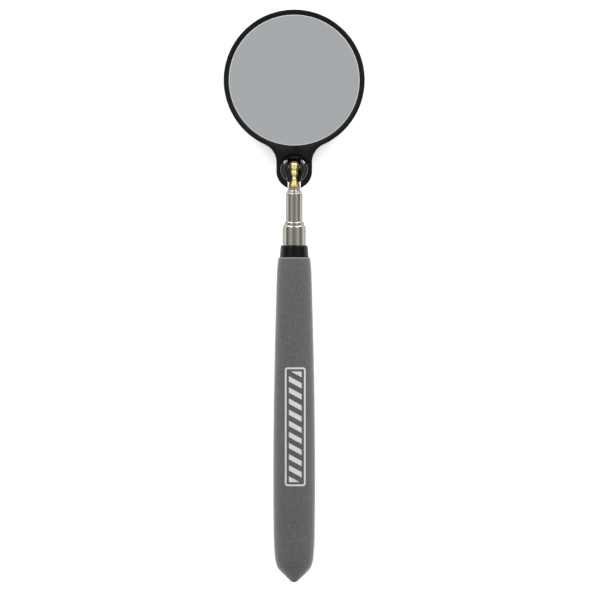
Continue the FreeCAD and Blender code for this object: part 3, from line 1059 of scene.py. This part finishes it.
def widen_stud_bead(piece):
    """Makes the bead under the stud's head fuller."""
    low, high = STUD_BEAD
    pick(piece)
    bpy.ops.object.mode_set(mode="EDIT")
    select(piece, "VERT", lambda vertex: station(low) < vertex.co.y < station(high))
    bpy.ops.transform.resize(
        value=(STUD_BEAD_GROWTH, 1, STUD_BEAD_GROWTH),
        center_override=(0, station(STUD_BEAD_MIDDLE), AXIS),
    )
    bpy.ops.object.mode_set(mode="OBJECT")


class MIRROR_OT_frame(bpy.types.Operator):
    """Make the moulded frame with its neck and swivel socket"""

    bl_idname = "inspection.make_frame"
    bl_label = "Mirror frame"

    def execute(self, context):
        piece = merged_copy("mirror_frame", "moulded_frame")
        round_socket_edges(piece, context.scene.mirror_head.socket_round)
        smooth(piece, SHARP_FRAME_EDGE)
        finish_piece(piece, finish("frame_plastic"), "head", "frame_plastic", "mirror_frame")
        return {"FINISHED"}


class MIRROR_OT_glass(bpy.types.Operator):
    """Make the round silvered glass with its ground edge"""

    bl_idname = "inspection.make_glass"
    bl_label = "Mirror glass"

    def execute(self, context):
        deselect()
        settings = context.scene.mirror_head
        radius = (GLASS_HIGH.x - GLASS_LOW.x) / 2
        bpy.ops.mesh.primitive_cylinder_add(
            vertices=GLASS_SEGMENTS,
            radius=radius,
            depth=GLASS_HIGH.z - GLASS_LOW.z - settings.glass_fall,
            location=GLASS_CENTRE - Vector((0, 0, settings.glass_fall / 2)),
        )
        piece = settle(bpy.context.object, "round_glass")
        bpy.ops.object.mode_set(mode="EDIT")
        select(piece, "FACE", lambda face: face.normal.z > 0.9)
        bpy.ops.mesh.extrude_region_move(
            TRANSFORM_OT_translate={"value": (0, 0, settings.glass_fall)}
        )
        ratio = (radius - settings.glass_bevel) / radius
        bpy.ops.transform.resize(value=(ratio, ratio, 1), center_override=GLASS_CENTRE)
        bpy.ops.object.mode_set(mode="OBJECT")
        bevel_edges(piece, GLASS_ROUND, ROUNDED_GLASS_EDGE)
        smooth(piece, SHARP_GLASS_EDGE)
        finish_piece(piece, finish("silvered_glass"), "head", "mirror_glass", "mirror_glass")
        return {"FINISHED"}


class MIRROR_OT_ball(bpy.types.Operator):
    """Make the slotted swivel ball"""

    bl_idname = "inspection.make_ball"
    bl_label = "Swivel ball"

    def execute(self, context):
        stand_in("swivel_ball", "slotted_ball", "ball_plastic", "ball_plastic")
        return {"FINISHED"}


class MIRROR_OT_stud(bpy.types.Operator):
    """Make the turned brass stud"""

    bl_idname = "inspection.make_stud"
    bl_label = "Ball stud"

    def execute(self, context):
        piece = merged_copy("ball_stud", "turned_stud")
        widen_stud_bead(piece)
        smooth(piece)
        finish_piece(piece, finish("stud_brass"), "tip_tube", "stud_brass", "ball_stud")
        return {"FINISHED"}


class MIRROR_OT_ferrule(bpy.types.Operator):
    """Make the plated ferrule that holds the stud"""

    bl_idname = "inspection.make_ferrule"
    bl_label = "Tip ferrule"

    def execute(self, context):
        stand_in("tip_ferrule", "plated_ferrule", "tube_nickel", "tube_nickel")
        return {"FINISHED"}


class MIRROR_OT_tubes(bpy.types.Operator):
    """Draw the five nested tubes"""

    bl_idname = "inspection.make_tubes"
    bl_label = "Telescoping tubes"

    def execute(self, context):
        for index, tube in enumerate(TUBES):
            node = tube[0]
            piece = turned("drawn_" + node, tube_outline(index), sleeve=True, edge=TUBE_EDGE)
            finish_piece(piece, finish("tube_nickel"), body_of(node), "tube_nickel", node)
        return {"FINISHED"}


class MIRROR_OT_grip(bpy.types.Operator):
    """Make the soft tapered grip"""

    bl_idname = "inspection.make_grip"
    bl_label = "Grip"

    def execute(self, context):
        side = flowing(GRIP_SIDE, GRIP_SIDE_STEPS)[:-1]
        outline = GRIP_TIP + side + quarter_round(*GRIP_MOUTH) + GRIP_INSIDE
        piece = turned("soft_grip", outline, sleeve=True, segments=GRIP_SEGMENTS)
        finish_piece(piece, finish("grip_vinyl"), "handle", "grip_vinyl", "grip")
        return {"FINISHED"}


class MIRROR_OT_collar(bpy.types.Operator):
    """Make the collar at the top of the handle"""

    bl_idname = "inspection.make_collar"
    bl_label = "Collar"

    def execute(self, context):
        edge = context.scene.mirror_handle.edge_round
        outline = COLLAR_SIDE + quarter_round(*COLLAR_ROUND)[1:] + COLLAR_TOP
        piece = turned("collar_bushing", outline, sleeve=True, edge=edge)
        finish_piece(piece, finish("collar_plastic"), "handle", "collar_plastic", "collar")
        return {"FINISHED"}


class MIRROR_OT_end_plug(bpy.types.Operator):
    """Make the plug in the foot of the handle"""

    bl_idname = "inspection.make_end_plug"
    bl_label = "End plug"

    def execute(self, context):
        edge = context.scene.mirror_handle.edge_round
        piece = turned("end_plug_moulding", PLUG_OUTLINE, edge=edge)
        finish_piece(piece, finish("plug_plastic"), "handle", "plug_plastic", "end_plug")
        return {"FINISHED"}


INNER_FINISHES = {
    "glass_pad": "foam_tape",
    "pivot_pin": "pin_steel",
    "pivot_washers": "washer_plastic",
    "friction_spring_2": "spring_bronze",
    "friction_spring_3": "spring_bronze",
    "friction_spring_4": "spring_bronze",
    "friction_spring_5": "spring_bronze",
    "tube_plug": "plug_plastic",
    "handle_core": "plug_plastic",
}


class MIRROR_OT_inner_pieces(bpy.types.Operator):
    """Give the hidden working pieces their finishes"""

    bl_idname = "inspection.finish_inner_pieces"
    bl_label = "Inner pieces"

    def execute(self, context):
        for node, finish_name in INNER_FINISHES.items():
            piece = frame["nodes"][node]
            if not piece.data.materials:
                piece.data.materials.append(None)
            for slot in piece.material_slots:
                slot.material = finish(finish_name)
        return {"FINISHED"}


FLOOR_SIZE = 24.0
FLOOR_GLOW = 0.34
FLOOR_ROUGHNESS = 0.9
SKY_TINT = (0.995, 1.0, 1.01)
SKY = [
    # height of the direction, from the horizon at 0 to straight up at 1, and its level
    (0.0, 0.95),
    (0.05, 0.92),
    (0.12, 0.28),
    (0.46, 0.24),
    (0.66, 0.86),
    (0.88, 0.98),
    (0.955, 0.46),
    (1.0, 0.425),
]
LAMPS = {
    # place, size and share of the lamp power
    "lamp_upper_left": ((-0.50, 0.66, 0.74), 0.56, 2.2),
    "lamp_upper_right": ((0.50, 0.66, 0.74), 0.56, 2.2),
    "lamp_low_left": ((-0.82, 0.74, 0.26), 0.26, 2.0),
    "lamp_low_right": ((0.82, 0.74, 0.26), 0.26, 2.3),
    "lamp_front_left": ((-0.62, -0.80, 0.62), 0.26, 0.6),
    "lamp_front_right": ((0.62, -0.80, 0.62), 0.26, 0.7),
}
SENSOR = 36.0
CAMERA_X = 0.34 * MM
CAMERA_Y = 0.43 * MM
CAMERA_REACH = (0.05, 60.0)


class MIRROR_OT_stage(bpy.types.Operator):
    """Make the floor, the soft lights and the camera"""

    bl_idname = "inspection.make_stage"
    bl_label = "Stage"

    def execute(self, context):
        settings = context.scene.mirror_stage
        make_floor(settings)
        make_sky()
        make_lamps(settings)
        make_camera(settings)
        return {"FINISHED"}


def make_floor(settings):
    deselect()
    bpy.ops.mesh.primitive_plane_add(size=FLOOR_SIZE, location=(0, 0, 0))
    floor = settle(bpy.context.object, "floor")
    material, tree, shader, place = new_material("floor_paper")
    colour = settings.floor_colour
    paper = blend_colours(tree, noise(tree, place, 3.0), rgba(colour, 0.99), rgba(colour))
    tree.links.new(paper, shader.inputs["Base Color"])
    shader.inputs["Roughness"].default_value = FLOOR_ROUGHNESS
    shader.inputs["Emission Color"].default_value = (1.0, 1.0, 1.0, 1.0)
    shader.inputs["Emission Strength"].default_value = FLOOR_GLOW
    floor.data.materials.append(material)


def make_sky():
    """Soft studio surround: grey overhead, a bright band half-way up and at the horizon."""
    world = bpy.data.worlds.new("studio")
    bpy.context.scene.world = world
    world.use_nodes = True
    tree = world.node_tree
    tree.nodes.clear()
    direction = add(tree, "ShaderNodeTexCoord").outputs["Generated"]
    ramp = add(tree, "ShaderNodeValToRGB", {"Fac": part_of(tree, direction, "Z")})
    points = ramp.color_ramp.elements
    while len(points) < len(SKY):
        points.new(0.5)
    for point, (height, level) in zip(points, SKY):
        point.position = height
        point.color = rgba(SKY_TINT, level)
    back = add(tree, "ShaderNodeBackground", {"Color": ramp.outputs["Color"], "Strength": 1.0})
    output = add(tree, "ShaderNodeOutputWorld")
    tree.links.new(back.outputs[0], output.inputs["Surface"])


def make_lamps(settings):
    for name, (place, size, share) in LAMPS.items():
        deselect()
        bpy.ops.object.light_add(type="AREA", location=place)
        lamp = bpy.context.object
        lamp.name = name
        lamp.data.size = size
        lamp.data.energy = settings.lamp_power * share
        lamp.visible_camera = False
        aim = -Vector(place)
        lamp.rotation_euler = aim.to_track_quat("-Z", "Y").to_euler()


def make_camera(settings):
    """Looks straight down on the tool, square to the mirror."""
    deselect()
    distance = settings.field * settings.lens / SENSOR
    bpy.ops.object.camera_add(location=(CAMERA_X, CAMERA_Y, AXIS + distance), rotation=(0, 0, 0))
    camera = bpy.context.object
    camera.data.sensor_width = SENSOR
    camera.data.lens = settings.lens
    camera.data.clip_start, camera.data.clip_end = CAMERA_REACH
    bpy.context.scene.camera = camera
    bpy.context.scene.view_settings.view_transform = "Standard"


class MIRROR_PT_panel(bpy.types.Panel):
    """The pieces of the inspection mirror"""

    bl_idname = "MIRROR_PT_panel"
    bl_label = "Inspection mirror"
    bl_space_type = "VIEW_3D"
    bl_region_type = "UI"
    bl_category = "Inspection mirror"

    def draw(self, context):
        for operator in OPERATORS:
            self.layout.operator(operator.bl_idname)


OPERATORS = (
    MIRROR_OT_frame,
    MIRROR_OT_glass,
    MIRROR_OT_ball,
    MIRROR_OT_stud,
    MIRROR_OT_ferrule,
    MIRROR_OT_tubes,
    MIRROR_OT_grip,
    MIRROR_OT_collar,
    MIRROR_OT_end_plug,
    MIRROR_OT_inner_pieces,
    MIRROR_OT_stage,
)
SETTINGS = {
    "mirror_handle": HandleSettings,
    "mirror_head": HeadSettings,
    "mirror_metal": MetalSettings,
    "mirror_stage": StageSettings,
}


def register():
    for name, kind in SETTINGS.items():
        bpy.utils.register_class(kind)
        setattr(bpy.types.Scene, name, bpy.props.PointerProperty(type=kind))
    for operator in OPERATORS:
        bpy.utils.register_class(operator)
    bpy.utils.register_class(MIRROR_PT_panel)


def unregister():
    bpy.utils.unregister_class(MIRROR_PT_panel)
    for operator in reversed(OPERATORS):
        bpy.utils.unregister_class(operator)
    for name, kind in SETTINGS.items():
        delattr(bpy.types.Scene, name)
        bpy.utils.unregister_class(kind)


def main():
    register()
    for operator in OPERATORS:
        group, name = operator.bl_idname.split(".")
        getattr(getattr(bpy.ops, group), name)()


if __name__ == "__main__":
    main()
